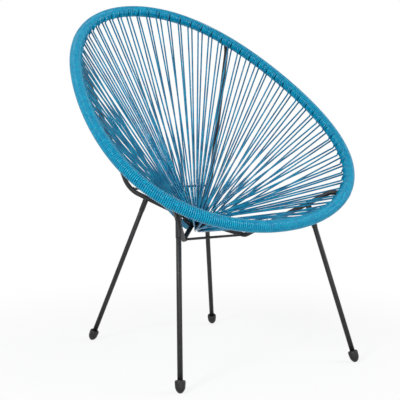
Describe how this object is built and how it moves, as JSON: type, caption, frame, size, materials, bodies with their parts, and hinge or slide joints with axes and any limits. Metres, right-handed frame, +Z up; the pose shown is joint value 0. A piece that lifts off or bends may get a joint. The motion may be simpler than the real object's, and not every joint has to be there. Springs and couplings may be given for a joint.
{
  "type": "lounge chair",
  "caption": "Low open lounge chair with an egg-shaped bound rim, a deep seat of straight radiating cords, bent rod struts and splayed legs on rubber feet.",
  "frame": {"origin": "on the floor, under the middle of the chair's overall box", "axes": "+Z up, -Y towards the front of the chair, +X towards the sitter's left"},
  "size_m": [0.6722, 0.6274, 0.8604],
  "materials": {
    "metal_black": "satin black powder coat",
    "bolt_zinc": "black plated steel",
    "rubber_black": "matte moulded rubber",
    "cord_blue": "glossy extruded plastic cord"
  },
  "bodies": {
    "root": {"rim_tube": "metal_black", "seat_ring": "metal_black", "rear_strut_left": "metal_black", "front_strut_left": "metal_black", "rear_strut_right": "metal_black", "front_strut_right": "metal_black", "rear_brace": "metal_black", "front_brace": "metal_black", "rear_leg_left": "metal_black", "rear_leg_socket_left": "metal_black", "rear_leg_screw_left": "bolt_zinc", "rear_foot_left": "rubber_black", "rear_leg_right": "metal_black", "rear_leg_socket_right": "metal_black", "rear_leg_screw_right": "bolt_zinc", "rear_foot_right": "rubber_black", "front_leg_left": "metal_black", "front_leg_socket_left": "metal_black", "front_leg_screw_left": "bolt_zinc", "front_foot_left": "rubber_black", "front_leg_right": "metal_black", "front_leg_socket_right": "metal_black", "front_leg_screw_right": "bolt_zinc", "front_foot_right": "rubber_black", "rim_binding_01": "cord_blue", "seat_cord_01": "cord_blue", "rim_binding_02": "cord_blue", "seat_cord_02": "cord_blue", "rim_binding_03": "cord_blue", "seat_cord_03": "cord_blue", "rim_binding_04": "cord_blue", "seat_cord_04": "cord_blue", "rim_binding_05": "cord_blue", "seat_cord_05": "cord_blue", "rim_binding_06": "cord_blue", "seat_cord_06": "cord_blue", "rim_binding_07": "cord_blue", "seat_cord_07": "cord_blue", "rim_binding_08": "cord_blue", "seat_cord_08": "cord_blue", "rim_binding_09": "cord_blue", "seat_cord_09": "cord_blue", "rim_binding_10": "cord_blue", "seat_cord_10": "cord_blue", "rim_binding_11": "cord_blue", "seat_cord_11": "cord_blue", "rim_binding_12": "cord_blue", "seat_cord_12": "cord_blue"}
  },
  "joints": []
}
